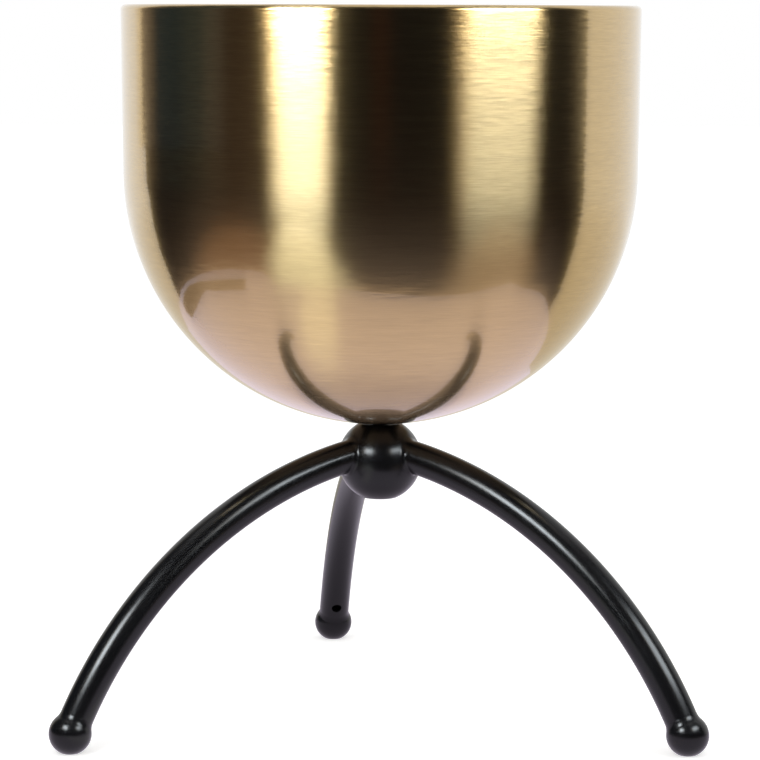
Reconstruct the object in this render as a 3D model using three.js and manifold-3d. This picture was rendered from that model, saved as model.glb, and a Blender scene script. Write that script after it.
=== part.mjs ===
// A round sheet-metal planter bowl, screwed to a ball hub that three bent tube legs carry.
// Millimetres, +Z up, the floor at z = 0 and the bowl's axis upright. The front faces -Y.
import * as THREE from "three";
import { mergeVertices } from "three/addons/utils/BufferGeometryUtils.js";
import Module from "manifold-3d";

const wasm = await Module();
wasm.setup();

// ---- Driving dimensions ----

// Bowl: spun from sheet, a slightly tapered wall over a dome, its edge rolled inwards.
const RIM_RADIUS = 100; // outside, at the rim
const WALL_TAPER = 0.6; // radius that the wall loses on its way down to the dome
const WALL_HEIGHT = 63.8; // top of the rim down to the start of the dome
const DOME_DEPTH = 98.3; // start of the dome down to its lowest point
const SHEET = 1; // sheet thickness
const ROLL_RADIUS = 2; // outside radius of the rolled edge
const ROLL_TAIL = 1.4; // straight end of the rolled edge, below the roll

// Hub: a steel ball with a seat for the bowl above and a flat below.
const HUB_RADIUS = 16.4;
const HUB_HEIGHT = 99.5; // its centre above the floor
const HUB_SEAT_RADIUS = 8.2;
const HUB_FLAT_RADIUS = 6.6;

// Legs: one bend each, on a circle whose crown lies behind the hub's axis.
const TUBE_RADIUS = 6.3;
const TUBE_WALL = 1.2;
const BEND_RADIUS = 169.4; // to the tube's centreline
const CROWN_RISE = 5.1; // the bend's highest point above the hub's centre
const CROWN_SETBACK = 16.7; // that point's distance behind the hub's axis
const VENT_RADIUS = 2.1; // hole that lets the closed tube breathe while it is welded and coated
const VENT_FROM_FOOT = 4.4; // hole's centre to the foot ball, along the tube
const LEGS = [
  { name: "left", azimuth: 213 }, // degrees from +X towards +Y
  { name: "right", azimuth: 327 },
  { name: "back", azimuth: 98.5 },
];

// Feet: steel balls ground flat where they stand.
const FOOT_RADIUS = 8;
const FOOT_FLAT_RADIUS = 3.5;

// Welds: a concave bead round each end of each tube.
const BEAD_LEG = 1.5; // its width on the tube and on the ball
const BEAD_TOE = 0.15; // blunt edge, as a share of that width

// Screw joint at the bottom of the bowl: socket screw, wide washer and sealing washer.
const SCREW_RADIUS = 3;
const SCREW_LENGTH = 16; // under the head
const TAP_RUNOUT = 3; // tapped hole past the screw's end
const HEAD_RADIUS = 5.25;
const HEAD_HEIGHT = 3.3;
const SOCKET_ACROSS_FLATS = 4;
const SOCKET_DEPTH = 2;
const HEX_SIDES = 6;
const WASHER_RADIUS = 9;
const WASHER_THICKNESS = 1.6;
const SEAL_RADIUS = 8.5;
const SEAL_THICKNESS = 1.5;

// Clearances.
const JOINT_GAP = 0.3; // between pieces that touch
const SCREW_PLAY = 0.3; // round the screw, in every hole it passes

// Facets.
const BOWL_FACETS = 60;
const DOME_STEPS = 12;
const ROLL_STEPS = 6;
const HUB_FACETS = 32;
const FOOT_FACETS = 24;
const BALL_STEPS = 10;
const TUBE_FACETS = 18;
const TUBE_STEPS = 14;
const BEAD_FACETS = 20;
const BEAD_STEPS = 3;
const VENT_FACETS = 16;
const SCREW_FACETS = 24;
const SCREW_HEAD_STEPS = 5;
const SEAL_STEPS = 2;

// ---- Places worked out from them ----

const HALF_TURN = Math.PI;
const QUARTER_TURN = Math.PI / 2;
const FULL_TURN = 2 * Math.PI;

const seatHeight = HUB_HEIGHT + Math.sqrt(HUB_RADIUS ** 2 - HUB_SEAT_RADIUS ** 2);
const bowlBase = seatHeight + JOINT_GAP;
const domeRadius = RIM_RADIUS - WALL_TAPER;
const domeTop = bowlBase + DOME_DEPTH;
const rimTop = domeTop + WALL_HEIGHT;
const sealBase = bowlBase + SHEET + JOINT_GAP;
const washerBase = sealBase + SEAL_THICKNESS + JOINT_GAP;
const headBase = washerBase + WASHER_THICKNESS + JOINT_GAP;
const screwEnd = headBase - SCREW_LENGTH;
const holeRadius = SCREW_RADIUS + SCREW_PLAY;
const footHeight = Math.sqrt(FOOT_RADIUS ** 2 - FOOT_FLAT_RADIUS ** 2);

// The legs' bend, in the upright plane of one leg: x runs outwards from the hub's axis.
const hubCentre = new THREE.Vector2(0, HUB_HEIGHT);
const bendCentre = new THREE.Vector2(-CROWN_SETBACK, HUB_HEIGHT + CROWN_RISE - BEND_RADIUS);
const footDrop = bendCentre.y - footHeight;
const footReach = bendCentre.x + Math.sqrt(BEND_RADIUS ** 2 - footDrop ** 2);
const footCentre = new THREE.Vector2(footReach, footHeight);

// A ball as the bend sees it: how far from the bend's centre, at what angle from the crown,
// and whether the tube leaves it (1) or arrives at it (-1).
function ballOnBend(centre, radius, side) {
  const offset = centre.clone().sub(bendCentre);
  const angle = Math.atan2(offset.x, offset.y);
  return { centre, radius, side, angle, distance: offset.length() };
}

const hubOnBend = ballOnBend(hubCentre, HUB_RADIUS, 1);
const footOnBend = ballOnBend(footCentre, FOOT_RADIUS, -1);

// ---- Materials ----

function finish(color, roughness, metalness) {
  return new THREE.MeshStandardMaterial({ color, roughness, metalness });
}

const brushedBrass = () => finish(0xc9a76a, 0.32, 1);
const blackCoat = () => finish(0x17171a, 0.35, 0);
const zincPlate = () => finish(0xb9bcc0, 0.35, 1);
const rubber = () => finish(0x1c1c1c, 0.8, 0);

// ---- Helpers ----

function part(name, geometry, material) {
  const mesh = new THREE.Mesh(geometry, material);
  mesh.name = name;
  return mesh;
}

function turned(profile, facets) {
  return new THREE.LatheGeometry(profile, facets).rotateX(QUARTER_TURN);
}

function arc(centre, radiusX, radiusY, from, to, steps) {
  const curve = new THREE.EllipseCurve(
    centre.x, centre.y, radiusX, radiusY, from, to, to < from,
  );
  return curve.getPoints(steps);
}

function point(x, y) {
  return new THREE.Vector2(x, y);
}

// A point of a leg's upright plane, in space.
function upright({ x, y }) {
  return new THREE.Vector3(x, 0, y);
}

function closed(profile) {
  return [...profile, profile[0].clone()];
}

function solidFrom(geometry) {
  const bare = geometry.clone();
  bare.deleteAttribute("normal");
  bare.deleteAttribute("uv");
  const merged = mergeVertices(bare);
  const vertProperties = merged.getAttribute("position").array;
  const triVerts = new Uint32Array(merged.index.array);
  return new wasm.Manifold(new wasm.Mesh({ numProp: 3, vertProperties, triVerts }));
}

function cut(geometry, ...cutters) {
  let solid = solidFrom(geometry);
  for (const cutter of cutters) solid = solid.subtract(solidFrom(cutter));
  const { vertProperties, triVerts } = solid.getMesh();
  const result = new THREE.BufferGeometry();
  result.setAttribute("position", new THREE.BufferAttribute(vertProperties, 3));
  result.setIndex(new THREE.BufferAttribute(triVerts, 1));
  return result;
}

// ---- Bowl ----

// The dome's surface, inset by a distance from its outside, between two radii.
function domeArc(inset, fromRadius, toRadius, steps) {
  const across = domeRadius - inset;
  const down = DOME_DEPTH - inset;
  const angleAt = (radius) => Math.asin(Math.min(radius / across, 1)) - QUARTER_TURN;
  return arc(point(0, domeTop), across, down, angleAt(fromRadius), angleAt(toRadius), steps);
}

function bowl() {
  const rollCentre = point(RIM_RADIUS - ROLL_RADIUS, rimTop - ROLL_RADIUS);
  const tailOutside = rollCentre.x - ROLL_RADIUS;
  const tailEnd = rollCentre.y - ROLL_TAIL;
  const rollInside = ROLL_RADIUS - SHEET;
  return turned(closed([
    ...domeArc(0, holeRadius, domeRadius, DOME_STEPS),
    ...arc(rollCentre, ROLL_RADIUS, ROLL_RADIUS, 0, HALF_TURN, ROLL_STEPS),
    point(tailOutside, tailEnd),
    point(tailOutside + SHEET, tailEnd),
    ...arc(rollCentre, rollInside, rollInside, HALF_TURN, 0, ROLL_STEPS),
    ...domeArc(SHEET, domeRadius - SHEET, holeRadius, DOME_STEPS),
  ]), BOWL_FACETS);
}

// ---- Screw joint ----

function sealingWasher() {
  const underside = domeArc(SHEET, holeRadius, SEAL_RADIUS, SEAL_STEPS);
  const top = sealBase + SEAL_THICKNESS;
  return turned(closed([
    ...underside.map(({ x, y }) => point(x, y + JOINT_GAP)),
    point(SEAL_RADIUS, top),
    point(holeRadius, top),
  ]), SCREW_FACETS);
}

function washer() {
  const top = washerBase + WASHER_THICKNESS;
  return turned(closed([
    point(holeRadius, washerBase),
    point(WASHER_RADIUS, washerBase),
    point(WASHER_RADIUS, top),
    point(holeRadius, top),
  ]), SCREW_FACETS);
}

function screw() {
  const middle = point(0, headBase);
  const headTop = headBase + HEAD_HEIGHT;
  const head = arc(middle, HEAD_RADIUS, HEAD_HEIGHT, 0, QUARTER_TURN, SCREW_HEAD_STEPS);
  const body = turned([
    point(0, screwEnd),
    point(SCREW_RADIUS, screwEnd),
    point(SCREW_RADIUS, headBase),
    ...head.slice(0, -1),
    point(0, headTop),
  ], SCREW_FACETS);
  const socketRadius = SOCKET_ACROSS_FLATS / 2 / Math.cos(HALF_TURN / HEX_SIDES);
  const socketLength = 2 * SOCKET_DEPTH;
  const socket = new THREE.CylinderGeometry(socketRadius, socketRadius, socketLength, HEX_SIDES);
  socket.rotateX(QUARTER_TURN);
  socket.translate(0, 0, headTop);
  return cut(body, socket);
}

// ---- Hub and feet ----

function hub() {
  const flatAngle = Math.acos(HUB_FLAT_RADIUS / HUB_RADIUS);
  const seatAngle = Math.acos(HUB_SEAT_RADIUS / HUB_RADIUS);
  const side = arc(hubCentre, HUB_RADIUS, HUB_RADIUS, -flatAngle, seatAngle, BALL_STEPS);
  const tappedEnd = screwEnd - TAP_RUNOUT;
  return turned([
    point(0, side[0].y),
    ...side,
    point(holeRadius, seatHeight),
    point(holeRadius, tappedEnd),
    point(0, tappedEnd),
  ], HUB_FACETS);
}

function footBall() {
  const flatAngle = Math.acos(FOOT_FLAT_RADIUS / FOOT_RADIUS);
  const middle = point(0, footHeight);
  const side = arc(middle, FOOT_RADIUS, FOOT_RADIUS, -flatAngle, QUARTER_TURN, BALL_STEPS);
  const ball = turned([
    point(0, 0),
    ...side.slice(0, -1),
    point(0, footHeight + FOOT_RADIUS),
  ], FOOT_FACETS);
  return ball.translate(footCentre.x, 0, 0);
}

// ---- Legs ----

// A point beside the bend: at an angle from the crown, an offset from the centreline, and a
// turn round the tube from its outer side.
function besideBend(angle, offset, turn) {
  const radius = BEND_RADIUS + offset * Math.cos(turn);
  return new THREE.Vector3(
    bendCentre.x + radius * Math.sin(angle),
    offset * Math.sin(turn),
    bendCentre.y + radius * Math.cos(angle),
  );
}

// The angle at which a line that runs beside the bend meets a ball's surface, a gap off it.
function angleAtBall(ball, offset, turn) {
  const radius = BEND_RADIUS + offset * Math.cos(turn);
  const aside = offset * Math.sin(turn);
  const reach = ball.radius + JOINT_GAP;
  const cosine = (radius ** 2 + ball.distance ** 2 + aside ** 2 - reach ** 2)
    / (2 * radius * ball.distance);
  return ball.angle + ball.side * Math.acos(cosine);
}

class LegBend extends THREE.Curve {
  getPoint(share, target = new THREE.Vector3()) {
    const angle = THREE.MathUtils.lerp(hubOnBend.angle, footOnBend.angle, share);
    return target.copy(besideBend(angle, 0, 0));
  }
}

function ballCutter({ centre, radius }) {
  const cutter = new THREE.SphereGeometry(radius + JOINT_GAP, HUB_FACETS, HUB_FACETS / 2);
  return cutter.translate(centre.x, 0, centre.y);
}

// A drill that comes from under the bend, towards the tube's centreline.
function ventCutter() {
  const fromCentre = FOOT_RADIUS + VENT_FROM_FOOT;
  const angle = footOnBend.angle - fromCentre / BEND_RADIUS;
  const length = 2 * TUBE_RADIUS;
  const drill = new THREE.CylinderGeometry(VENT_RADIUS, VENT_RADIUS, length, VENT_FACETS);
  drill.rotateX(QUARTER_TURN);
  drill.rotateY(angle);
  const middle = besideBend(angle, TUBE_RADIUS, HALF_TURN);
  return drill.translate(middle.x, middle.y, middle.z);
}

function legTube() {
  const section = new THREE.Shape().absarc(0, 0, TUBE_RADIUS, 0, FULL_TURN);
  section.holes.push(new THREE.Path().absarc(0, 0, TUBE_RADIUS - TUBE_WALL, 0, FULL_TURN));
  const tube = new THREE.ExtrudeGeometry(section, {
    steps: TUBE_STEPS,
    curveSegments: TUBE_FACETS / 2,
    extrudePath: new LegBend(),
  });
  return cut(tube, ballCutter(hubOnBend), ballCutter(footOnBend), ventCutter());
}

// One station of a bead: its corner between tube and ball, its toe a bead's width out along the
// ball, then its concave face, a quarter of an ellipse, up to its toe on the tube.
function beadSection(ball, turn) {
  const inner = TUBE_RADIUS + JOINT_GAP;
  const cornerAngle = angleAtBall(ball, inner, turn);
  const corner = besideBend(cornerAngle, inner, turn);
  const centre = upright(ball.centre);
  const fromCentre = corner.clone().sub(centre);
  const reach = fromCentre.length();
  const awayFromTube = corner.clone().sub(besideBend(cornerAngle, 0, turn));
  const downBall = awayFromTube.projectOnPlane(fromCentre.clone().normalize()).setLength(reach);
  const spread = BEAD_LEG / reach;
  const alongBall = centre.clone()
    .addScaledVector(fromCentre, Math.cos(spread))
    .addScaledVector(downBall, Math.sin(spread))
    .sub(corner);
  const climb = ball.side * BEAD_LEG / BEND_RADIUS;
  const alongTube = besideBend(cornerAngle + climb, inner, turn).sub(corner);
  const place = (ballShare, tubeShare) => corner.clone()
    .addScaledVector(alongBall, ballShare)
    .addScaledVector(alongTube, tubeShare);
  const hollow = 1 - BEAD_TOE;
  const face = arc(point(1, 1), hollow, hollow, -QUARTER_TURN, -HALF_TURN, BEAD_STEPS);
  return [corner, place(1, 0), ...face.map(({ x, y }) => place(x, y)), place(0, 1)];
}

// A ring of such sections, joined each to the next.
function weldBead(ball) {
  const stations = Array.from({ length: BEAD_FACETS }, (_, station) => station);
  const sections = stations.map((station) =>
    beadSection(ball, ball.side * FULL_TURN * station / BEAD_FACETS));
  const corners = sections[0].length;
  const index = (station, corner) =>
    (station % BEAD_FACETS) * corners + (corner % corners);
  const faces = [];
  for (const station of stations) {
    for (let corner = 0; corner < corners; corner += 1) {
      const near = index(station, corner);
      const nearNext = index(station, corner + 1);
      const far = index(station + 1, corner);
      const farNext = index(station + 1, corner + 1);
      faces.push(near, nearNext, far, nearNext, farNext, far);
    }
  }
  const geometry = new THREE.BufferGeometry().setFromPoints(sections.flat());
  geometry.setIndex(faces);
  return geometry;
}

function leg({ name, azimuth }) {
  const group = new THREE.Group();
  group.rotation.z = THREE.MathUtils.degToRad(azimuth);
  group.add(
    part(`leg_tube_${name}`, legTube(), blackCoat()),
    part(`foot_ball_${name}`, footBall(), blackCoat()),
    part(`hub_weld_${name}`, weldBead(hubOnBend), blackCoat()),
    part(`foot_weld_${name}`, weldBead(footOnBend), blackCoat()),
  );
  return group;
}

// ---- Assembly ----

const stand = new THREE.Group();
stand.add(part("hub_ball", hub(), blackCoat()));
stand.add(...LEGS.map(leg));

const planter = new THREE.Group();
planter.add(
  part("bowl", bowl(), brushedBrass()),
  part("sealing_washer", sealingWasher(), rubber()),
  part("screw_washer", washer(), zincPlate()),
  part("bowl_screw", screw(), zincPlate()),
);

const assembly = new THREE.Group();
assembly.add(stand, planter);

// The origin is on the floor, at the middle of the whole object's footprint.
const middle = new THREE.Box3().setFromObject(assembly, true).getCenter(new THREE.Vector3());
assembly.position.set(-middle.x, -middle.y, 0);

export default assembly;
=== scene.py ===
"""A brushed brass bowl planter on a black tripod of bent tube, in a pale studio.

Everything is in metres, +Z up, the floor at z = 0 and the front facing -Y.
"""

import math

import bmesh
import bpy
from bpy.props import FloatProperty, FloatVectorProperty, PointerProperty
from mathutils import Matrix, Vector


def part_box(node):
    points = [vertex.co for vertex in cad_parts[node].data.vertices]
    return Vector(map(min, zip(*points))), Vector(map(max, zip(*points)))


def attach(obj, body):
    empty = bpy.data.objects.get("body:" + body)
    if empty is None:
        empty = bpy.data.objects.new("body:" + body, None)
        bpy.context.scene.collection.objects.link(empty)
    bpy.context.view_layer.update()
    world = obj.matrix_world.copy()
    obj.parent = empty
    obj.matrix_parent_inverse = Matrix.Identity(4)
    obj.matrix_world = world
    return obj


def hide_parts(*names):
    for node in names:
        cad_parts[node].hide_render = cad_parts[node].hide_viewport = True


bl_info = {
    "name": "Bowl planter on a tripod",
    "version": (1, 0, 0),
    "blender": (4, 5, 0),
    "location": "View3D > Sidebar > Planter",
    "description": "Models and finishes a brass bowl planter, its black tripod and its studio",
    "category": "Object",
}

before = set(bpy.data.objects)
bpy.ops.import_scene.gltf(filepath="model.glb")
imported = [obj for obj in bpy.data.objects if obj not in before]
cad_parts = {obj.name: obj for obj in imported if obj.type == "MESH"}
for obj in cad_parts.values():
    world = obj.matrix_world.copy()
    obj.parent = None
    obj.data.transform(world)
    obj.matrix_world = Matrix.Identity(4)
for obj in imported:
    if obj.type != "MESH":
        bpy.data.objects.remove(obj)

BODY = "root"
MM = 0.001
ONE_PLACE = MM / 1000  # vertices nearer than this are merged
NEARLY = MM / 100  # how far off a vertex may be and still count as lying on an edge
UP = Vector((0, 0, 1))
SIDEWAYS = Vector((0, 1, 0))
QUARTER_TURN = math.pi / 2
HALF_TURN = math.pi
FULL_TURN = 2 * math.pi

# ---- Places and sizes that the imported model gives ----


def middle_of(name):
    low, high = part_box(name)
    return (low + high) / 2


def width_of(name):
    low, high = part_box(name)
    return high.x - low.x


bowl_low, bowl_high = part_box("bowl")
AXIS = Vector((middle_of("bowl").x, middle_of("bowl").y, 0))
hub_low, hub_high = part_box("hub_ball")
HUB_RADIUS = width_of("hub_ball") / 2
HUB_HEIGHT = 99.5 * MM  # of its centre; the two flats differ, so its box doesn't give this
HUB_CENTRE = Vector((AXIS.x, AXIS.y, HUB_HEIGHT))
LEG_NAMES = ("left", "right", "back")


def linear(hex_colour):
    """An sRGB colour such as "c5a572" as linear red, green and blue."""
    shares = (int(hex_colour[at:at + 2], 16) / 255 for at in (0, 2, 4))
    return tuple(c / 12.92 if c <= 0.04045 else ((c + 0.055) / 1.055) ** 2.4 for c in shares)


# ---- Settings that a user would change ----


def length(name, description, millimetres):
    return FloatProperty(
        name=name, description=description, default=millimetres * MM, min=0, unit="LENGTH",
        precision=4,
    )


def colour(name, description, hex_colour):
    return FloatVectorProperty(
        name=name, description=description, default=linear(hex_colour), min=0, max=1,
        subtype="COLOR",
    )


class PlanterSizes(bpy.types.PropertyGroup):
    sheet: length("Sheet", "Thickness of the bowl's sheet metal", 1.0)
    wall_taper: length("Wall taper", "Radius that the wall loses down to the dome", 0.6)
    wall_height: length("Wall height", "Top of the rim down to the start of the dome", 63.8)
    roll_radius: length("Rolled edge", "Outside radius of the rolled edge", 2)
    roll_tail: length("Roll tail", "Straight end of the rolled edge, below the roll", 1.4)
    tube_radius: length("Tube radius", "Outside radius of the leg tube", 6.3)
    tube_wall: length("Tube wall", "Wall thickness of the leg tube", 1.2)
    bend_radius: length("Bend radius", "Radius of a leg's bend, to its centreline", 169.4)
    crown_rise: length("Crown rise", "The bend's highest point above the hub's centre", 5.1)
    crown_setback: length("Crown setback", "That point's distance behind the hub's axis", 16.7)
    vent_radius: length("Vent radius", "Radius of the vent hole near each foot", 2.1)
    vent_from_foot: length("Vent place", "Vent hole's centre to the foot ball", 4.4)
    foot_radius: length("Foot radius", "Radius of a foot ball", 8)
    bead_leg: length("Bead width", "Width of a weld bead on the tube and on the ball", 1.5)
    edge_round: length("Edge round", "Radius of the small rounds on turned edges", 0.35)
    screw_radius: length("Screw radius", "Radius of the screw's shank", 3)
    screw_play: length("Screw play", "Clearance round the screw", 0.3)
    socket_width: length("Socket width", "Across the flats of the screw's socket", 4)
    socket_depth: length("Socket depth", "Depth of the screw's socket", 2)


class PlanterColours(bpy.types.PropertyGroup):
    brass: colour("Brass", "Reflected colour of the brushed brass", "c5a76e")
    haze: colour("Brass haze", "Colour that the brass's scratches reflect", "c0aa80")
    coat: colour("Black coat", "Colour of the powder coat", "0c0c0e")
    zinc: colour("Zinc", "Reflected colour of the zinc plate", "c3c6ca")
    seal: colour("Seal rubber", "Colour of the rubber seal", "1b1b1c")


class PlanterStudio(bpy.types.PropertyGroup):
    main_light: FloatProperty(
        name="Main softbox", description="Dims or brightens the softbox at the front left",
        default=1.0, min=0)
    side_light: FloatProperty(
        name="Side softbox", description="Dims or brightens the softbox at the front right",
        default=1.0, min=0)
    room_light: FloatProperty(
        name="Room light", description="Strength of the even light on matt surfaces",
        default=0.7, min=0)


# ---- Mesh helpers ----

SHARP_ANGLE = math.radians(35)  # an edge that turns by more is shaded as a sharp one
ROUND_SEGMENTS = 3  # facets across a rounded edge


def shape_object(name, bm):
    """A bmesh as a new object at the origin, shaded smooth except across its sharp edges."""
    bm.normal_update()
    mesh = bpy.data.meshes.new(name)
    bm.to_mesh(mesh)
    bm.free()
    mesh.shade_smooth()
    mesh.set_sharp_from_angle(angle=SHARP_ANGLE)
    made = bpy.data.objects.new(name, mesh)
    bpy.context.scene.collection.objects.link(made)
    return made


def finish_piece(piece, material, slot, *nodes):
    """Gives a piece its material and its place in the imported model."""
    piece.data.materials.clear()
    piece.data.materials.append(material)
    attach(piece, BODY)
    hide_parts(*nodes)


def arc(centre, radius_x, radius_y, start, end, steps):
    """Points along an ellipse's arc in the profile plane, with both ends."""
    angles = (start + (end - start) * step / steps for step in range(steps + 1))
    return [
        (centre[0] + radius_x * math.cos(a), centre[1] + radius_y * math.sin(a)) for a in angles
    ]


def revolved(profile, steps, closed):
    """A (radius, height) profile turned once round the upright axis through the origin."""
    bm = bmesh.new()
    verts = [bm.verts.new((radius, 0, height)) for radius, height in profile]
    pairs = list(zip(verts, verts[1:]))
    if closed:
        pairs.append((verts[-1], verts[0]))
    edges = [bm.edges.new(pair) for pair in pairs]
    bmesh.ops.spin(
        bm, geom=verts + edges, cent=(0, 0, 0), axis=UP, angle=FULL_TURN, steps=steps,
        use_merge=True,
    )
    bmesh.ops.remove_doubles(bm, verts=bm.verts, dist=ONE_PLACE)
    bmesh.ops.recalc_face_normals(bm, faces=bm.faces)
    return bm


def round_edges(bm, width, wanted):
    """Bevels the edges whose two ends both pass a test."""
    chosen = [edge for edge in bm.edges if all(wanted(vert.co) for vert in edge.verts)]
    bmesh.ops.bevel(
        bm, geom=chosen, offset=width, offset_type="OFFSET", segments=ROUND_SEGMENTS,
        profile=0.5, affect="EDGES", material=-1, clamp_overlap=True,
    )


def cut_away(piece, *cutters):
    """Cuts other objects out of a piece, then deletes them."""
    for cutter in cutters:
        cut = piece.modifiers.new("cut", "BOOLEAN")
        cut.operation = "DIFFERENCE"
        cut.solver = "MANIFOLD"
        cut.object = cutter
    graph = bpy.context.evaluated_depsgraph_get()
    graph.update()
    mesh = bpy.data.meshes.new_from_object(piece.evaluated_get(graph))
    piece.modifiers.clear()
    spare = piece.data
    piece.data = mesh
    bpy.data.meshes.remove(spare)
    for cutter in cutters:
        bpy.data.meshes.remove(cutter.data)
    mesh.name = piece.name
    mesh.shade_smooth()
    mesh.set_sharp_from_angle(angle=SHARP_ANGLE)


# ---- Materials ----


def add(tree, kind, links=None, **settings):
    """Adds a shader node; links maps a socket to a node, to a node's output or to a value."""
    made = tree.nodes.new("ShaderNode" + kind)
    for name, value in settings.items():
        setattr(made, name, value)
    for socket, source in (links or {}).items():
        if isinstance(source, bpy.types.Node):
            source = source.outputs[0]
        if isinstance(source, bpy.types.NodeSocket):
            tree.links.new(source, made.inputs[socket])
        else:
            made.inputs[socket].default_value = source
    return made


def blank_material(name):
    material = bpy.data.materials.new(name)
    material.use_nodes = True
    material.node_tree.nodes.clear()
    return material, material.node_tree


def opaque(rgb):
    return (*rgb, 1)


def between(low, high):
    """The two sockets of a Map Range node that say what it maps to."""
    return {"To Min": low, "To Max": high}


NOISE_REACH = {"From Min": 0.3, "From Max": 0.7}  # most of a noise texture's values lie here

BRUSH_STREAK = 8 * MM  # length of a brush line, round the bowl
BRUSH_PITCH = 0.4 * MM  # from one line to the next; real ones are too fine for the picture
BRUSH_SHADES = (0.88, 1.08)  # the darkest and lightest lines, against the brass's colour
UPWARD_LEAN = 0.04  # steepest slope of a line, up or down
SIDEWAYS_LEAN = 0.014  # steepest slope of a line round the bowl, which frays the bands' edges
SCRATCHED_SHARE = 0.38  # of the surface; the rest is still polished
SCRATCHED_ROUGHNESS = 0.335
SCRATCHED_STRETCH = -0.7  # negative, because this shader is rougher along its tangent then
POLISHED_ROUGHNESS = (0.16, 0.19)  # in the smoothest and in the roughest patches
POLISHED_STRETCH = 0.75
LACQUER_ROUGHNESS = 0.06
LACQUER_IOR = 1.5


def brushed_brass(rgb, haze):
    """Brass brushed in circles on a lathe, under clear lacquer.

    The brushing spreads every reflection up and down and leaves it crisp sideways. What is
    still polished spreads it a little, and the scratched share spreads a lamp into a band over
    the whole height. Single lines lean a little, which frays the edges of the bands. The
    lacquer adds a colourless, sharp reflection.
    """
    material, tree = blank_material("brushed_brass_lacquered")
    place = add(tree, "TexCoord").outputs["Object"]
    centred = add(tree, "Mapping", {"Vector": place, "Location": -AXIS})
    x, y, z = add(tree, "SeparateXYZ", {0: centred}).outputs
    squares = add(tree, "Math", {0: x, 1: x}, operation="MULTIPLY")
    squares = add(tree, "Math", {0: y, 1: y, 2: squares}, operation="MULTIPLY_ADD")
    radius = add(tree, "Math", {0: squares}, operation="SQRT")
    # grows steadily along the surface, from the middle of the base up to the rim
    along = add(tree, "Math", {0: radius, 1: z}, operation="ADD")

    def lines(streak, pitch, detail, shift):
        """Noise that is long round the bowl and fine along its side."""
        stretched = add(tree, "CombineXYZ", {
            "X": add(tree, "Math", {0: x, 1: 1 / streak, 2: shift}, operation="MULTIPLY_ADD"),
            "Y": add(tree, "Math", {0: y, 1: 1 / streak}, operation="MULTIPLY"),
            "Z": add(tree, "Math", {0: along, 1: 1 / pitch}, operation="MULTIPLY"),
        })
        return add(tree, "TexNoise", {
            "Vector": stretched, "Scale": 1.0, "Detail": detail, "Roughness": 0.6})

    fine = lines(BRUSH_STREAK, BRUSH_PITCH, detail=3.0, shift=0.0)
    broad = lines(4 * BRUSH_STREAK, 5 * BRUSH_PITCH, detail=2.0, shift=7.0)
    sway = lines(0.8 * BRUSH_STREAK, BRUSH_PITCH, detail=2.0, shift=19.0)

    normal = add(tree, "NewGeometry").outputs["Normal"]
    round_bowl = add(tree, "VectorMath", {0: tuple(UP), 1: normal}, operation="CROSS_PRODUCT")
    round_bowl = add(tree, "VectorMath", {0: round_bowl}, operation="NORMALIZE")
    up_side = add(tree, "VectorMath", {0: normal, 1: round_bowl}, operation="CROSS_PRODUCT")
    leaning = normal
    for direction, noise, lean in (
            (round_bowl, sway, SIDEWAYS_LEAN), (up_side, fine, UPWARD_LEAN)):
        slope = add(tree, "MapRange", {"Value": noise, **NOISE_REACH, **between(-lean, lean)})
        leaning = add(
            tree, "VectorMath", {0: direction, 1: slope, 2: leaning}, operation="MULTIPLY_ADD")
    leaning = add(tree, "VectorMath", {0: leaning}, operation="NORMALIZE")

    mixed = add(tree, "Math", {0: broad, 1: 0.5, 2: fine}, operation="MULTIPLY_ADD")
    shade = add(tree, "MapRange", {
        "Value": mixed, "From Min": 0.5, "From Max": 1.0, **between(*BRUSH_SHADES)})
    polished_colour, scratched_colour = (
        add(tree, "MixRGB", {"Fac": 1.0, "Color1": opaque(tint), "Color2": shade},
            blend_type="MULTIPLY")
        for tint in (rgb, haze)
    )
    roughness = add(tree, "MapRange", {
        "Value": broad, **NOISE_REACH, **between(*POLISHED_ROUGHNESS)})
    upright = add(tree, "CombineXYZ", {"Z": 1.0})
    polished = add(tree, "BsdfPrincipled", {
        "Base Color": polished_colour,
        "Metallic": 1.0,
        "Roughness": roughness,
        "Anisotropic": POLISHED_STRETCH,
        "Tangent": upright,
        "Normal": leaning,
    })
    scratched = add(tree, "BsdfAnisotropic", {
        "Color": scratched_colour,
        "Roughness": SCRATCHED_ROUGHNESS,
        "Anisotropy": SCRATCHED_STRETCH,
        "Tangent": upright,
        "Normal": leaning,
    }, distribution="BECKMANN")
    metal = add(tree, "MixShader", {0: SCRATCHED_SHARE, 1: polished, 2: scratched})
    lacquer = add(tree, "BsdfAnisotropic", {
        "Color": (1, 1, 1, 1), "Roughness": LACQUER_ROUGHNESS})
    surface = add(tree, "MixShader", {
        0: add(tree, "Fresnel", {"IOR": LACQUER_IOR}), 1: metal, 2: lacquer})
    add(tree, "OutputMaterial", {"Surface": surface})
    return material


PEEL_WIDTH = 1.6 * MM  # of one swell of the coat's orange peel
PEEL_DEPTH = 0.02 * MM
COAT_PATCH = 9 * MM  # width of the coat's slightly glossier and duller patches
COAT_ROUGHNESS = (0.23, 0.27)
COAT_SPECULAR = 0.31  # under the usual 0.5, because the powder's matting dulls its shine


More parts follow.
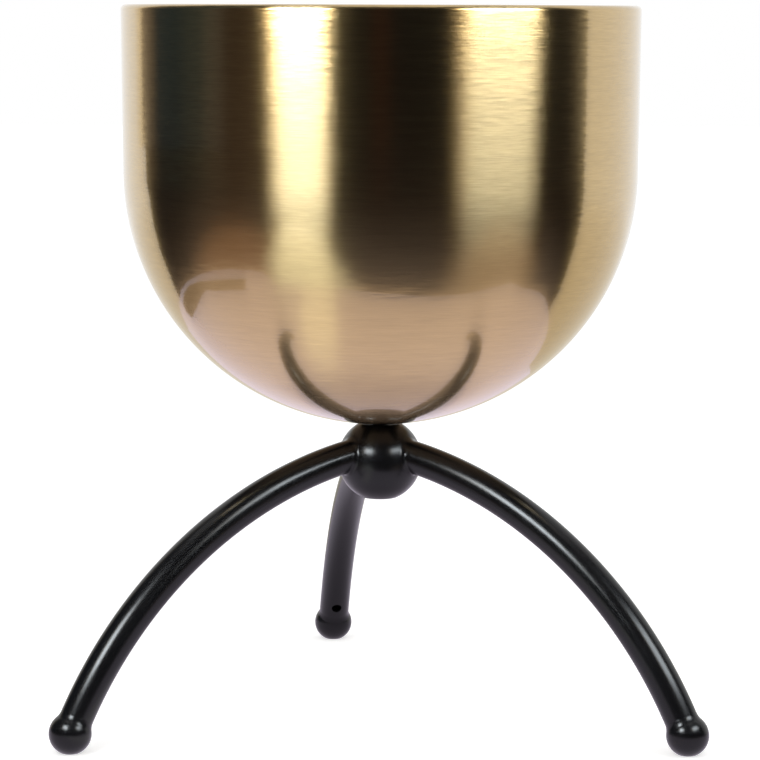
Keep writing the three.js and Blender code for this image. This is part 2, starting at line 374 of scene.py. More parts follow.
def powder_coat(rgb):
    """Black polyester powder coat, baked on.

    Semi-gloss, with a faint orange peel that softens the highlights.
    """
    material, tree = blank_material("black_powder_coat")
    place = add(tree, "TexCoord").outputs["Object"]
    peel = add(tree, "TexNoise", {"Vector": place, "Scale": 1 / PEEL_WIDTH, "Detail": 2.0})
    bump = add(tree, "Bump", {"Height": peel, "Strength": 0.25, "Distance": PEEL_DEPTH})
    patches = add(tree, "TexNoise", {"Vector": place, "Scale": 1 / COAT_PATCH, "Detail": 3.0})
    roughness = add(tree, "MapRange", {
        "Value": patches, **NOISE_REACH, **between(*COAT_ROUGHNESS)})
    surface = add(tree, "BsdfPrincipled", {
        "Base Color": opaque(rgb),
        "Roughness": roughness,
        "IOR": 1.5,
        "Specular IOR Level": COAT_SPECULAR,
        "Normal": bump,
    })
    add(tree, "OutputMaterial", {"Surface": surface})
    return material


ZINC_CLOUD = 2 * MM  # width of a clouded patch
ZINC_ROUGHNESS = (0.24, 0.42)


def zinc_plate(rgb):
    """Bright zinc plate on steel: pale, faintly blue, with slightly uneven gloss."""
    material, tree = blank_material("bright_zinc_plate")
    place = add(tree, "TexCoord").outputs["Object"]
    cloud = add(tree, "TexNoise", {"Vector": place, "Scale": 1 / ZINC_CLOUD, "Detail": 4.0})
    roughness = add(tree, "MapRange", {"Value": cloud, **between(*ZINC_ROUGHNESS)})
    surface = add(tree, "BsdfPrincipled", {
        "Base Color": opaque(rgb), "Metallic": 1.0, "Roughness": roughness})
    add(tree, "OutputMaterial", {"Surface": surface})
    return material


RUBBER_GRAIN = 0.4 * MM  # width of a grain that the mould leaves
RUBBER_GRAIN_DEPTH = 0.03 * MM


def seal_rubber(rgb):
    """Moulded synthetic rubber: matt black, a little dusty."""
    material, tree = blank_material("moulded_seal_rubber")
    place = add(tree, "TexCoord").outputs["Object"]
    grain = add(tree, "TexNoise", {"Vector": place, "Scale": 1 / RUBBER_GRAIN, "Detail": 3.0})
    bump = add(tree, "Bump", {
        "Height": grain, "Strength": 0.3, "Distance": RUBBER_GRAIN_DEPTH})
    surface = add(tree, "BsdfPrincipled", {
        "Base Color": opaque(rgb), "Roughness": 0.75, "IOR": 1.52, "Normal": bump})
    add(tree, "OutputMaterial", {"Surface": surface})
    return material


MADE_MATERIALS = {}


def material_for(slot):
    """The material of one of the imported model's slots, made when it is first asked for."""
    colours = bpy.context.scene.planter_colours
    makers = {
        "brass_bowl": (brushed_brass, colours.brass, colours.haze),
        "black_coat": (powder_coat, colours.coat),
        "zinc_plate": (zinc_plate, colours.zinc),
        "seal_rubber": (seal_rubber, colours.seal),
    }
    if slot not in MADE_MATERIALS:
        maker, *rgbs = makers[slot]
        MADE_MATERIALS[slot] = maker(*(tuple(rgb) for rgb in rgbs))
    return MADE_MATERIALS[slot]


# ---- The bowl ----

BOWL_STEPS = 192
DOME_POINTS = 56
ROLL_POINTS = 14


def bowl_profile(sizes):
    """The sheet's section: up the outside, over the rolled edge and down the inside."""
    rim_radius = width_of("bowl") / 2
    rim_top = bowl_high.z
    dome_radius = rim_radius - sizes.wall_taper
    dome_top = rim_top - sizes.wall_height
    dome_depth = dome_top - bowl_low.z
    hole = sizes.screw_radius + sizes.screw_play

    def dome(inset, start_radius, end_radius):
        across, down = dome_radius - inset, dome_depth - inset
        start, end = (
            math.asin(min(radius / across, 1)) - QUARTER_TURN
            for radius in (start_radius, end_radius)
        )
        return arc((0, dome_top), across, down, start, end, DOME_POINTS)

    roll = (rim_radius - sizes.roll_radius, rim_top - sizes.roll_radius)
    inside = sizes.roll_radius - sizes.sheet
    tail = (roll[0] - (sizes.roll_radius + inside) / 2, roll[1] - sizes.roll_tail)
    return [
        *dome(0, hole, dome_radius),
        *arc(roll, sizes.roll_radius, sizes.roll_radius, 0, HALF_TURN, ROLL_POINTS),
        *arc(tail, sizes.sheet / 2, sizes.sheet / 2, HALF_TURN, FULL_TURN, ROLL_POINTS // 2),
        *arc(roll, inside, inside, HALF_TURN, 0, ROLL_POINTS),
        *dome(sizes.sheet, dome_radius - sizes.sheet, hole),
    ]


class PLANTER_OT_bowl(bpy.types.Operator):
    """Spin the brass bowl with its rolled edge"""

    bl_idname = "planter.bowl"
    bl_label = "Bowl"

    def execute(self, context):
        bm = revolved(bowl_profile(context.scene.planter_sizes), BOWL_STEPS, closed=True)
        bmesh.ops.translate(bm, verts=bm.verts, vec=AXIS)
        bowl = shape_object("spun_bowl", bm)
        finish_piece(bowl, material_for("brass_bowl"), "brass_bowl", "bowl")
        return {"FINISHED"}


# ---- The hub and the feet ----

BALL_STEPS = 96
BALL_POINTS = 48


class PLANTER_OT_hub(bpy.types.Operator):
    """Turn the hub ball, with its two flats and its tapped hole"""

    bl_idname = "planter.hub"
    bl_label = "Hub ball"

    def execute(self, context):
        sizes = context.scene.planter_sizes
        flat_angle, seat_angle = (
            math.asin((height - HUB_CENTRE.z) / HUB_RADIUS) for height in (hub_low.z, hub_high.z))
        side = arc(
            (0, HUB_CENTRE.z), HUB_RADIUS, HUB_RADIUS, flat_angle, seat_angle, BALL_POINTS)
        hole = sizes.screw_radius + sizes.screw_play
        tap_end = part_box("bowl_screw")[0].z - sizes.screw_radius
        bm = revolved([
            (0, hub_low.z),
            *side,
            (hole, hub_high.z),
            (hole, tap_end),
            (0, tap_end),
        ], BALL_STEPS, closed=False)

        def on_flat_edge(co):
            aside = math.hypot(co.x, co.y)
            return any(
                abs(aside - radius) < NEARLY and abs(co.z - height) < NEARLY
                for radius, height in (side[0], side[-1]))

        round_edges(bm, sizes.edge_round, on_flat_edge)
        bmesh.ops.translate(bm, verts=bm.verts, vec=AXIS)
        hub = shape_object("turned_hub", bm)
        finish_piece(hub, material_for("black_coat"), "black_coat", "hub_ball")
        return {"FINISHED"}


def foot_centre(name, sizes):
    low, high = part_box(f"foot_ball_{name}")
    return Vector(((low.x + high.x) / 2, (low.y + high.y) / 2, high.z - sizes.foot_radius))


class PLANTER_OT_feet(bpy.types.Operator):
    """Turn the three foot balls and grind a flat under each"""

    bl_idname = "planter.feet"
    bl_label = "Foot balls"

    def execute(self, context):
        sizes = context.scene.planter_sizes
        for name in LEG_NAMES:
            bm = bmesh.new()
            bmesh.ops.create_uvsphere(
                bm, u_segments=BALL_STEPS, v_segments=BALL_POINTS, radius=sizes.foot_radius)
            bmesh.ops.translate(bm, verts=bm.verts, vec=foot_centre(name, sizes))
            cut = bmesh.ops.bisect_plane(
                bm, geom=bm.verts[:] + bm.edges[:] + bm.faces[:], plane_co=(0, 0, 0),
                plane_no=-UP, clear_outer=True)
            rim = [item for item in cut["geom_cut"] if isinstance(item, bmesh.types.BMEdge)]
            bmesh.ops.edgeloop_fill(bm, edges=rim)
            round_edges(bm, sizes.edge_round, lambda co: abs(co.z) < ONE_PLACE)
            foot = shape_object(f"foot_{name}", bm)
            finish_piece(
                foot, material_for("black_coat"), "black_coat", f"foot_ball_{name}")
        return {"FINISHED"}


# ---- The legs ----

TUBE_FACETS = 48
TUBE_STEPS = 96
SINK = 0.05 * MM  # how far the coped tube ends reach into the balls


class Bend:
    """A leg's bend in its own upright plane: x outwards from the hub's axis, z up."""

    def __init__(self, name, sizes):
        self.sizes = sizes
        foot = foot_centre(name, sizes)
        outward = foot - AXIS
        self.azimuth = math.atan2(outward.y, outward.x)
        self.radius = sizes.bend_radius
        self.centre = Vector((
            -sizes.crown_setback, 0, HUB_CENTRE.z + sizes.crown_rise - sizes.bend_radius))
        self.hub = self.ball(Vector((0, 0, HUB_CENTRE.z)), HUB_RADIUS, 1)
        reach = math.hypot(outward.x, outward.y)
        self.foot = self.ball(Vector((reach, 0, foot.z)), sizes.foot_radius, -1)

    def ball(self, centre, radius, side):
        """A ball as the bend sees it; side is 1 where the tube leaves it and -1 at its end."""
        offset = centre - self.centre
        return {
            "centre": centre, "radius": radius, "side": side,
            "angle": math.atan2(offset.x, offset.z), "distance": offset.length,
        }

    def place(self, angle, offset, turn):
        """A point at an angle from the crown, off the centreline, turned from its outer side."""
        radius = self.radius + offset * math.cos(turn)
        return self.centre + Vector((
            radius * math.sin(angle), offset * math.sin(turn), radius * math.cos(angle)))

    def angle_at(self, ball, offset, turn):
        """The angle at which a line that runs beside the bend meets a ball."""
        radius = self.radius + offset * math.cos(turn)
        aside = offset * math.sin(turn)
        cosine = (radius ** 2 + ball["distance"] ** 2 + aside ** 2 - ball["radius"] ** 2) / (
            2 * radius * ball["distance"])
        return ball["angle"] + ball["side"] * math.acos(cosine)

    def to_row(self):
        """From the leg's own plane to its place round the hub."""
        return Matrix.Translation(AXIS) @ Matrix.Rotation(self.azimuth, 4, "Z")


def swept_rod(name, bend, radius):
    """A solid rod that follows the bend, from ball centre to ball centre."""
    bm = bmesh.new()
    start = bend.hub["angle"]
    span = bend.foot["angle"] - start
    # its end circle lies across the bend, in the plane of the outward and sideways lines
    outward = Vector((math.sin(start), 0, math.cos(start)))
    across = Matrix((outward, SIDEWAYS, outward.cross(SIDEWAYS))).transposed().to_4x4()
    middle = Matrix.Translation(bend.place(start, 0, 0)) @ across
    bmesh.ops.create_circle(bm, segments=TUBE_FACETS, radius=radius, matrix=middle)
    first = bm.edges[:]
    swept = bmesh.ops.spin(
        bm, geom=first, cent=bend.centre, axis=SIDEWAYS, angle=span, steps=TUBE_STEPS)
    last = [item for item in swept["geom_last"] if isinstance(item, bmesh.types.BMEdge)]
    bmesh.ops.edgeloop_fill(bm, edges=first)
    bmesh.ops.edgeloop_fill(bm, edges=last)
    bmesh.ops.recalc_face_normals(bm, faces=bm.faces)
    return shape_object(name, bm)


def ball_cutter(ball):
    bm = bmesh.new()
    bmesh.ops.create_uvsphere(
        bm, u_segments=BALL_STEPS, v_segments=BALL_POINTS, radius=ball["radius"] - SINK,
        matrix=Matrix.Translation(ball["centre"]))
    return shape_object("ball_cutter", bm)


def vent_cutter(bend):
    """A drill that comes from under the bend, towards the tube's centreline."""
    sizes = bend.sizes
    angle = bend.foot["angle"] - (sizes.foot_radius + sizes.vent_from_foot) / bend.radius
    place = Matrix.Translation(bend.place(angle, sizes.tube_radius, HALF_TURN))
    bm = bmesh.new()
    bmesh.ops.create_cone(
        bm, cap_ends=True, segments=TUBE_FACETS, radius1=sizes.vent_radius,
        radius2=sizes.vent_radius, depth=2 * sizes.tube_radius,
        matrix=place @ Matrix.Rotation(angle, 4, "Y"))
    return shape_object("vent_cutter", bm)


class PLANTER_OT_legs(bpy.types.Operator):
    """Bend the three leg tubes, cope their ends to the balls and drill their vent holes"""

    bl_idname = "planter.legs"
    bl_label = "Leg tubes"

    def execute(self, context):
        for name in LEG_NAMES:
            sizes = context.scene.planter_sizes
            bend = Bend(name, sizes)
            leg = swept_rod(f"bent_leg_{name}", bend, sizes.tube_radius)
            bore = swept_rod("bore", bend, sizes.tube_radius - sizes.tube_wall)
            cut_away(
                leg, ball_cutter(bend.hub), ball_cutter(bend.foot), bore, vent_cutter(bend))
            leg.data.transform(bend.to_row())
            finish_piece(leg, material_for("black_coat"), "black_coat", f"leg_tube_{name}")
        return {"FINISHED"}


# ---- The weld beads ----

BEAD_FACETS = 72
BEAD_POINTS = 8
TOE_SINK = 0.12  # how far a bead's toes dip under the tube and the ball, as a share of its width


def bead_section(bend, ball, turn):
    """The bead's corners at one turn round the tube: under the joint, then its hollow face."""
    width = bend.sizes.bead_leg
    corner_angle = bend.angle_at(ball, bend.sizes.tube_radius, turn)
    corner = bend.place(corner_angle, bend.sizes.tube_radius, turn)
    from_ball = corner - ball["centre"]
    outward = from_ball.normalized()
    off_tube = (corner - bend.place(corner_angle, 0, turn)).normalized()
    down_ball = (off_tube - outward * off_tube.dot(outward)).normalized()
    spread = width / ball["radius"]
    toe = ball["centre"] + ball["radius"] * (
        outward * math.cos(spread) + down_ball * math.sin(spread))
    climb = ball["side"] * width / bend.radius
    heel = bend.place(corner_angle + climb, bend.sizes.tube_radius, turn)
    face = arc((1, 1), 1, 1, -QUARTER_TURN, -HALF_TURN, BEAD_POINTS)
    sunk = -TOE_SINK
    shares = [(sunk, sunk), (1, sunk), *face, (sunk, 1)]
    return [corner + (toe - corner) * b + (heel - corner) * t for b, t in shares]


def bead(bend, ball):
    """A ring of such sections: one circle for each corner, bridged to the next."""
    turns = [ball["side"] * FULL_TURN * step / BEAD_FACETS for step in range(BEAD_FACETS)]
    sections = [bead_section(bend, ball, turn) for turn in turns]
    bm = bmesh.new()
    loops = []
    for corner in range(len(sections[0])):
        circle = bmesh.ops.create_circle(bm, segments=BEAD_FACETS, radius=1)["verts"]
        for vert, section in zip(circle, sections):
            vert.co = section[corner]
        loops.append({edge for vert in circle for edge in vert.link_edges})
    for loop, following in zip(loops, loops[1:] + loops[:1]):
        bmesh.ops.bridge_loops(bm, edges=list(loop | following))
    bmesh.ops.recalc_face_normals(bm, faces=bm.faces)
    return bm


class PLANTER_OT_welds(bpy.types.Operator):
    """Run a hollow weld bead round both ends of each leg tube"""

    bl_idname = "planter.welds"
    bl_label = "Weld beads"

    def execute(self, context):
        for name in LEG_NAMES:
            bend = Bend(name, context.scene.planter_sizes)
            for end, ball in (("hub", bend.hub), ("foot", bend.foot)):
                bm = bead(bend, ball)
                bmesh.ops.transform(bm, matrix=bend.to_row(), verts=bm.verts)
                weld = shape_object(f"{end}_bead_{name}", bm)
                finish_piece(
                    weld, material_for("black_coat"), "black_coat", f"{end}_weld_{name}")
        return {"FINISHED"}


# ---- The screw joint inside the bowl ----

SMALL_STEPS = 64
HEX_SIDES = 6


def turned_ring(node, hole, round_width):
    """A flat ring that fills a node's box, with rounded edges."""
    low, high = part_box(node)
    outer = (high.x - low.x) / 2
    bm = revolved(
        [(hole, low.z), (outer, low.z), (outer, high.z), (hole, high.z)], SMALL_STEPS,
        closed=True)
    round_edges(bm, round_width, lambda co: math.hypot(co.x, co.y) > outer - NEARLY)
    bmesh.ops.translate(bm, verts=bm.verts, vec=AXIS)
    return bm


class PLANTER_OT_screw_joint(bpy.types.Operator):
    """Fit the button-head screw, its wide washer and the rubber seal"""

    bl_idname = "planter.screw_joint"
    bl_label = "Screw joint"

    def execute(self, context):
        sizes = context.scene.planter_sizes
        hole = sizes.screw_radius + sizes.screw_play
        rings = (
            ("wide_washer", "screw_washer", "zinc_plate"),
            ("rubber_seal", "sealing_washer", "seal_rubber"),
        )
        for name, node, slot in rings:
            ring = shape_object(name, turned_ring(node, hole, sizes.edge_round))
            finish_piece(ring, material_for(slot), slot, node)
        self.add_screw(sizes)
        return {"FINISHED"}

    def add_screw(self, sizes):
        low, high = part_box("bowl_screw")
        head_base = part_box("screw_washer")[1].z
        head_radius = (high.x - low.x) / 2
        head = arc((0, head_base), head_radius, high.z - head_base, 0, QUARTER_TURN, BALL_POINTS)
        bm = revolved([
            (0, low.z),
            (sizes.screw_radius, low.z),
            (sizes.screw_radius, head_base),
            *head,
        ], SMALL_STEPS, closed=False)
        bmesh.ops.translate(bm, verts=bm.verts, vec=AXIS)
        screw = shape_object("button_screw", bm)
        corner = sizes.socket_width / 2 / math.cos(HALF_TURN / HEX_SIDES)
        key = bmesh.new()
        bmesh.ops.create_cone(
            key, cap_ends=True, segments=HEX_SIDES, radius1=corner, radius2=corner,
            depth=2 * sizes.socket_depth,
            matrix=Matrix.Translation((AXIS.x, AXIS.y, high.z)))
        cut_away(screw, shape_object("socket_cutter", key))
        finish_piece(screw, material_for("zinc_plate"), "zinc_plate", "bowl_screw")


# ---- The studio ----

CAMERA_BACK = 1179.2 * MM  # from the bowl's axis
CAMERA_HEIGHT = 274.4 * MM
CAMERA_PITCH = math.radians(6.95)  # looking down
CAMERA_ROLL = math.radians(0.18)
CAMERA_LENS = 144.06  # millimetres, on a 36 mm sensor

# The softboxes, round the bowl's axis: distance, foot and top in millimetres; the azimuths at
# which a cloth starts, glows fully, starts to fade and ends, in degrees to the right of the
# front; the radiance of the cloth in reflections, and of the light it throws on matt surfaces.
SOFTBOXES = {
    "main": {"distance": 620, "foot": 355, "top": 600, "edges": (-49, -41, -24.5, -20),
             "radiance": 36, "light": 10},
    "side": {"distance": 620, "foot": 355, "top": 600, "edges": (29, 40, 66, 70.5),
             "radiance": 18, "light": 4},
}
CLOTH_COLOUR = "f0f9ff"
CLOTH_EDGE_COLOUR = "ffebc8"  # warmer, as beside a softbox's gold lining

FLOOR_SIDE = 12.0
PAPER_GRAIN = 1.5 * MM
PAPER_TONES = (0.78, 0.82)
PAPER_LIFT = 0.55  # light that the floor gains for the camera, so that its lit paper is white
LAYER_GAP = 0.5 * MM  # the mirrored layers lie just under the floor that the camera sees

# What the bowl mirrors of the table under it, as outlines round the bowl's axis, in
# millimetres: a white sheet, a brown tray on its left edge and a dark table top round the
# front. Pale paper fills the rest.
SHEET_OUTLINE = (
    (-191, -177), (-173, -191), (-134, -211), (-95, -225), (-66, -227), (-15, -226), (35, -219),
    (87, -201), (123, -188), (161, -172), (193, -162), (228, -146), (253, -133), (258, -122),
    (259, -98), (271, -68), (279, -32), (275, -4), (261, 24), (234, 65), (208, 105), (190, 128),
    (155, 174), (144, 330), (-236, 330), (-236, 306), (-255, 284), (-273, 269), (-302, 226),
    (-334, 164), (-356, 100), (-362, 17), (-355, -47), (-329, -110), (-285, -161), (-255, -182),
    (-224, -180),
)
TRAY_OUTLINE = (
    (-255, 178), (-273, 203), (-296, 190), (-322, 149), (-340, 96), (-338, 29), (-318, -35),
    (-296, -86), (-267, -128), (-243, -100), (-267, -62), (-303, 20), (-292, 57), (-273, 103),
)
TABLE_OUTLINE = (
    (254, 38), (443, 42), (839, 97), (6000, 1060), (6000, -6000), (-6000, -6000), (-6000, 4500),
    (-1294, 796), (-706, 412), (-396, 227), (-322, 207), (-200, 190), (200, 60),
)
# Radiance of each, in reflections.
TRAY_LIGHT = (0.30, 0.22, 0.13)
SHEET_LIGHT = (1.0, 0.91, 1.08)
TABLE_LIGHT = (0.022, 0.018, 0.02)
PAPER_NEAR_LIGHT = (0.70, 0.62, 0.47)  # at the bowl's axis; it is white further out
PAPER_NEAR_REACH = 1.5
# Painted light where the softboxes shine on the table top and on the sheet, and painted shade
# where the bowl shades the sheet: middle, half length outwards and half width, in millimetres,
# direction in degrees to the right of the front, and radiance.
TABLE_GLOWS = (
    {"middle": (-320, -150), "reach": (420, 260), "azimuth": -66, "light": (0.30, 0.18, 0.11)},
    {"middle": (330, -240), "reach": (380, 170), "azimuth": 55, "light": (0.42, 0.34, 0.27)},
    {"middle": (-215, -310), "reach": (460, 130), "azimuth": -36, "light": (1.3, 1.4, 1.35)},
)
SHEET_GLOWS_AND_SHADE = (
    {"middle": (-95, -150), "reach": (150, 42), "azimuth": -16, "light": (1.35, 1.3, 1.35)},
    # painted shade: the bowl's own shadow on the sheet
    {"middle": (0, 50), "reach": (125, 125), "azimuth": 0, "light": (0.66, 0.58, 0.70)},
)
GLOW_FADE = 0.6  # share of a glow's reach over which it fades out

# Dark felt round the front: azimuth in degrees to the right of the front, and radiance there.
# Both of its ends fade into the pale room.
FELT_TONES = (
    (-137, (1.0, 1.0, 1.0)),
    (-130, (0.90, 0.80, 0.60)),
    (-127.5, (0.18, 0.15, 0.14)),
    (-118, (0.12, 0.11, 0.10)),
    (-114, (0.032, 0.052, 0.075)),
    (-100, (0.032, 0.052, 0.075)),
    (-92, (0.052, 0.070, 0.085)),
    (-85, (0.06, 0.080, 0.095)),
    (-80, (0.10, 0.11, 0.12)),
    (-74, (0.09, 0.09, 0.10)),
    (-69, (0.045, 0.036, 0.034)),
    (-52, (0.045, 0.036, 0.034)),
    (-45, (0.010, 0.010, 0.012)),
    (-6, (0.010, 0.010, 0.012)),
    (-2, (0.030, 0.014, 0.012)),
    (2, (0.030, 0.014, 0.012)),
    (6, (0.008, 0.009, 0.012)),
    (88, (0.008, 0.009, 0.012)),
    (92, (0.05, 0.045, 0.04)),
    (100.5, (0.20, 0.19, 0.16)),
)
FELT_DISTANCE = 5.0
FELT_HEIGHT = 12.0
CARD_STEP = 3  # degrees between a curved card's edges


def reflection_only(card):
    """Keeps a studio card out of the picture, the shadows and the light on matt surfaces."""
    card.visible_camera = False
    card.visible_diffuse = False
    card.visible_shadow = False
    card.visible_transmission = False
    card.visible_volume_scatter = False


def floor_material():
    """White paper: matt, and lifted to white for the camera, so that only shadows show."""
    material, tree = blank_material("white_paper_floor")
    place = add(tree, "TexCoord").outputs["Object"]
    grain = add(tree, "TexNoise", {"Vector": place, "Scale": 1 / PAPER_GRAIN, "Detail": 3.0})
    tone = add(tree, "MapRange", {"Value": grain, **between(*PAPER_TONES)})
    paper = add(tree, "BsdfDiffuse", {"Color": tone})
    seen = add(tree, "LightPath").outputs["Is Camera Ray"]
    lift = add(tree, "Emission", {
        "Strength": add(tree, "Math", {0: seen, 1: PAPER_LIFT}, operation="MULTIPLY")})
    add(tree, "OutputMaterial", {"Surface": add(tree, "AddShader", {0: paper, 1: lift})})
    return material


def studio_world(room_light):
    """White to the camera and in reflections, softer on matt surfaces."""
    world = bpy.data.worlds.new("white_backdrop")
    world.use_nodes = True
    tree = world.node_tree
    tree.nodes.clear()
    rays = add(tree, "LightPath").outputs
    seen = rays["Is Camera Ray"]
    for kind in ("Is Glossy Ray", "Is Transmission Ray"):
        seen = add(tree, "Math", {0: seen, 1: rays[kind]}, operation="MAXIMUM")
    strength = add(tree, "MapRange", {"Value": seen, **between(room_light, 1.0)})
    backdrop = add(tree, "Background", {"Color": (1, 1, 1, 1), "Strength": strength})
    add(tree, "OutputWorld", {"Surface": backdrop})
    world.cycles.sampling_method = "NONE"
    bpy.context.scene.world = world


def flat_card(name, outline, material):
    """A face through a few points."""
    bm = bmesh.new()
    bm.faces.new([bm.verts.new(point) for point in outline])
    bm.normal_update()
    card = shape_object(name, bm)
    card.data.materials.append(material)
    return card


def wrapped_card(name, material, distance, foot, top, start, end):
    """A curved card that stands round the bowl's axis, between two azimuths."""
    bm = bmesh.new()
    turn = math.radians(start)
    place = AXIS + distance * Vector((math.sin(turn), -math.cos(turn), 0))
    low = bm.verts.new(place + UP * foot)
    high = bm.verts.new(place + UP * top)
    edge = bm.edges.new((low, high))
    bmesh.ops.spin(
        bm, geom=[low, high, edge], cent=AXIS, axis=UP, angle=math.radians(end - start),
        steps=round((end - start) / CARD_STEP))
    card = shape_object(name, bm)
    card.data.materials.append(material)
    reflection_only(card)


def azimuth_in(tree):
    """The azimuth of a point round the bowl's axis, in radians to the right of the front."""
    place = add(tree, "TexCoord").outputs["Object"]
    centred = add(tree, "Mapping", {"Vector": place, "Location": -AXIS})
    x, y, _ = add(tree, "SeparateXYZ", {0: centred}).outputs
    forwards = add(tree, "Math", {0: y, 1: -1.0}, operation="MULTIPLY")
    return add(tree, "Math", {0: x, 1: forwards}, operation="ARCTAN2")


def softbox(name, dimmer):
    """A softbox: its glowing cloth as the object mirrors it, and its light on matt surfaces."""
    box = SOFTBOXES[name]
    distance, foot, top = (box[key] * MM for key in ("distance", "foot", "top"))
    edges = [math.radians(edge) for edge in box["edges"]]
    material, tree = blank_material(f"softbox_cloth_{name}")
    azimuth = azimuth_in(tree)
    sides = [
        add(tree, "MapRange", {"Value": azimuth, "From Min": dark, "From Max": bright},
            interpolation_type="SMOOTHSTEP")
        for dark, bright in ((edges[0], edges[1]), (edges[3], edges[2]))
    ]
    share = add(tree, "Math", dict(enumerate(sides)), operation="MULTIPLY")
    cloth = add(tree, "MixRGB", {
        "Fac": share, "Color1": opaque(linear(CLOTH_EDGE_COLOUR)),
        "Color2": opaque(linear(CLOTH_COLOUR))})
    strength = add(
        tree, "Math", {0: share, 1: dimmer * box["radiance"]}, operation="MULTIPLY")
    glow = add(tree, "Emission", {"Color": cloth, "Strength": strength})
    add(tree, "OutputMaterial", {"Surface": glow})
    start, *_, end = box["edges"]
    wrapped_card(f"softbox_cloth_{name}", material, distance, foot, top, start, end)

    light = bpy.data.lights.new(f"softbox_light_{name}", "AREA")
    light.shape = "RECTANGLE"
    light.size = distance * (edges[2] - edges[1])
    light.size_y = top - foot
    light.energy = dimmer * box["light"] * math.pi * light.size * light.size_y
    holder = bpy.data.objects.new(f"softbox_light_{name}", light)
    turn = (edges[1] + edges[2]) / 2
    centre = distance * Vector((math.sin(turn), -math.cos(turn), 0))
    facing = (-centre).to_track_quat("-Z", "Y").to_matrix().to_4x4()
    holder.matrix_world = Matrix.Translation(AXIS + centre + UP * (foot + top) / 2) @ facing
    holder.visible_camera = False
    holder.visible_glossy = False
    bpy.context.scene.collection.objects.link(holder)


def felt_wall():
    """Dark felt round the front, whose tone changes along it."""
    material, tree = blank_material("dark_felt")
    start, end = FELT_TONES[0][0], FELT_TONES[-1][0]
    along = add(tree, "MapRange", {
        "Value": azimuth_in(tree), "From Min": math.radians(start),
        "From Max": math.radians(end)})
    ramp = add(tree, "ValToRGB", {"Fac": along})
    stops = ramp.color_ramp.elements
    for number, (azimuth, light) in enumerate(FELT_TONES):
        at = (azimuth - start) / (end - start)
        stop = stops[number] if number < 2 else stops.new(at)
        stop.position = at
        stop.color = opaque(light)
    glow = add(tree, "Emission", {"Color": ramp})
    add(tree, "OutputMaterial", {"Surface": glow})
    wrapped_card(
        "felt_wall", material, FELT_DISTANCE, -FELT_HEIGHT, FELT_HEIGHT, start, end)


def shiny_material(name, light, glows):
    """An evenly lit layer of the table, with painted glows and painted shade where the light on
    it differs.
    """
    material, tree = blank_material(name)
    place = add(tree, "TexCoord").outputs["Object"]
    light = opaque(light)
    for glow in glows:
        middle = AXIS + Vector((*glow["middle"], 0)) * MM
        length_out, width = (reach * MM for reach in glow["reach"])
        spot = add(tree, "Mapping", {
            "Vector": place, "Location": middle,
            "Rotation": (0, 0, math.radians(glow["azimuth"]) - QUARTER_TURN),
            "Scale": (length_out, width, 1),
        }, vector_type="TEXTURE")
        fade = add(tree, "TexGradient", {0: spot}, gradient_type="SPHERICAL").outputs["Fac"]
        soft = add(tree, "MapRange", {"Value": fade, "From Max": GLOW_FADE},
                   interpolation_type="SMOOTHSTEP")
        light = add(tree, "MixRGB", {
            "Fac": soft, "Color1": light, "Color2": opaque(glow["light"])})
    shine = add(tree, "Emission", {"Color": light})
    add(tree, "OutputMaterial", {"Surface": shine})
    return material


def surround_material():
    """Pale paper round the stand, creamier near it."""
    material, tree = blank_material("pale_table_paper")
    place = add(tree, "TexCoord").outputs["Object"]
    near = add(tree, "Mapping", {
        "Vector": place, "Location": AXIS, "Scale": [PAPER_NEAR_REACH] * 3,
    }, vector_type="TEXTURE")
    fade = add(tree, "TexGradient", {0: near}, gradient_type="SPHERICAL").outputs["Fac"]
    shade = add(tree, "MixRGB", {
        "Fac": fade, "Color1": (1, 1, 1, 1), "Color2": opaque(PAPER_NEAR_LIGHT)})
    glow = add(tree, "Emission", {"Color": shade})
    add(tree, "OutputMaterial", {"Surface": glow})
    return material


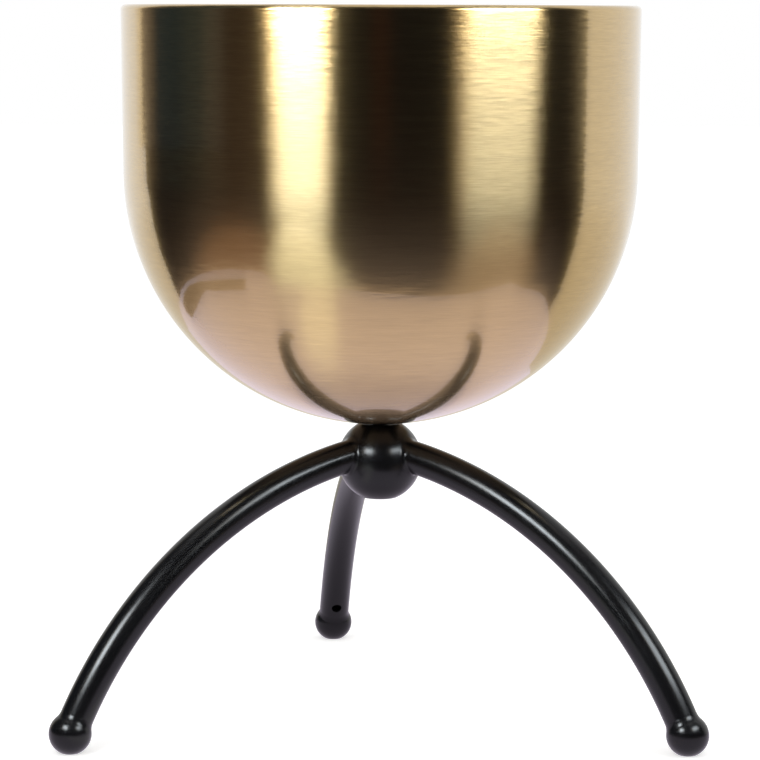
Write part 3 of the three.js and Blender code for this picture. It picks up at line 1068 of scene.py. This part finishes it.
class PLANTER_OT_studio(bpy.types.Operator):
    """Lay the floor, hang the backdrop and set the softboxes and the camera"""

    bl_idname = "planter.studio"
    bl_label = "Studio"

    def execute(self, context):
        studio = context.scene.planter_studio
        context.scene.view_settings.view_transform = "Standard"
        studio_world(studio.room_light)
        self.add_floor()
        felt_wall()
        softbox("main", studio.main_light)
        softbox("side", studio.side_light)
        self.add_camera(context.scene)
        return {"FINISHED"}

    def add_floor(self):
        half = FLOOR_SIDE / 2
        corners = [(-half, -half), (half, -half), (half, half), (-half, half)]
        floor = flat_card("floor", [(x, y, 0) for x, y in corners], floor_material())
        floor.visible_glossy = False
        self.add_mirrored_table(corners)

    def add_mirrored_table(self, corners):
        """The table as the bowl mirrors it, in layers, the uppermost just under the floor."""
        layers = (
            ("mirrored_tray", TRAY_OUTLINE, shiny_material("brown_tray", TRAY_LIGHT, ())),
            ("mirrored_sheet", SHEET_OUTLINE,
             shiny_material("white_sheet", SHEET_LIGHT, SHEET_GLOWS_AND_SHADE)),
            ("mirrored_table", TABLE_OUTLINE,
             shiny_material("dark_table_top", TABLE_LIGHT, TABLE_GLOWS)),
            ("mirrored_surround", [(x / MM, y / MM) for x, y in corners], surround_material()),
        )
        for number, (name, outline, material) in enumerate(layers, 1):
            points = [
                (AXIS.x + x * MM, AXIS.y + y * MM, -number * LAYER_GAP) for x, y in outline]
            reflection_only(flat_card(name, points, material))

    def add_camera(self, scene):
        camera = bpy.data.cameras.new("camera")
        camera.lens = CAMERA_LENS
        camera.clip_end = 2 * FLOOR_SIDE
        holder = bpy.data.objects.new("camera", camera)
        look = Matrix.Rotation(QUARTER_TURN - CAMERA_PITCH, 4, "X")
        roll = Matrix.Rotation(CAMERA_ROLL, 4, "Z")
        place = AXIS + Vector((0, -CAMERA_BACK, CAMERA_HEIGHT))
        holder.matrix_world = Matrix.Translation(place) @ look @ roll
        scene.collection.objects.link(holder)
        scene.camera = holder


# ---- The panel and the add-on ----

OPERATORS = (
    PLANTER_OT_bowl,
    PLANTER_OT_hub,
    PLANTER_OT_feet,
    PLANTER_OT_legs,
    PLANTER_OT_welds,
    PLANTER_OT_screw_joint,
    PLANTER_OT_studio,
)


class PLANTER_PT_panel(bpy.types.Panel):
    """The planter's pieces and settings in the sidebar"""

    bl_idname = "PLANTER_PT_panel"
    bl_label = "Planter"
    bl_space_type = "VIEW_3D"
    bl_region_type = "UI"
    bl_category = "Planter"

    def draw(self, context):
        for operator in OPERATORS:
            self.layout.operator(operator.bl_idname)
        for group in ("planter_sizes", "planter_colours", "planter_studio"):
            settings = getattr(context.scene, group)
            for name in settings.__annotations__:
                self.layout.prop(settings, name)


SETTINGS = {
    "planter_sizes": PlanterSizes,
    "planter_colours": PlanterColours,
    "planter_studio": PlanterStudio,
}
CLASSES = (*SETTINGS.values(), *OPERATORS, PLANTER_PT_panel)


def register():
    for each in CLASSES:
        bpy.utils.register_class(each)
    for name, group in SETTINGS.items():
        setattr(bpy.types.Scene, name, PointerProperty(type=group))


def unregister():
    for name in SETTINGS:
        delattr(bpy.types.Scene, name)
    for each in reversed(CLASSES):
        bpy.utils.unregister_class(each)


def main():
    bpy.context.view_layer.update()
    register()
    for operator in OPERATORS:
        group, name = operator.bl_idname.split(".")
        getattr(getattr(bpy.ops, group), name)()
    bpy.context.view_layer.update()


if __name__ == "__main__":
    main()
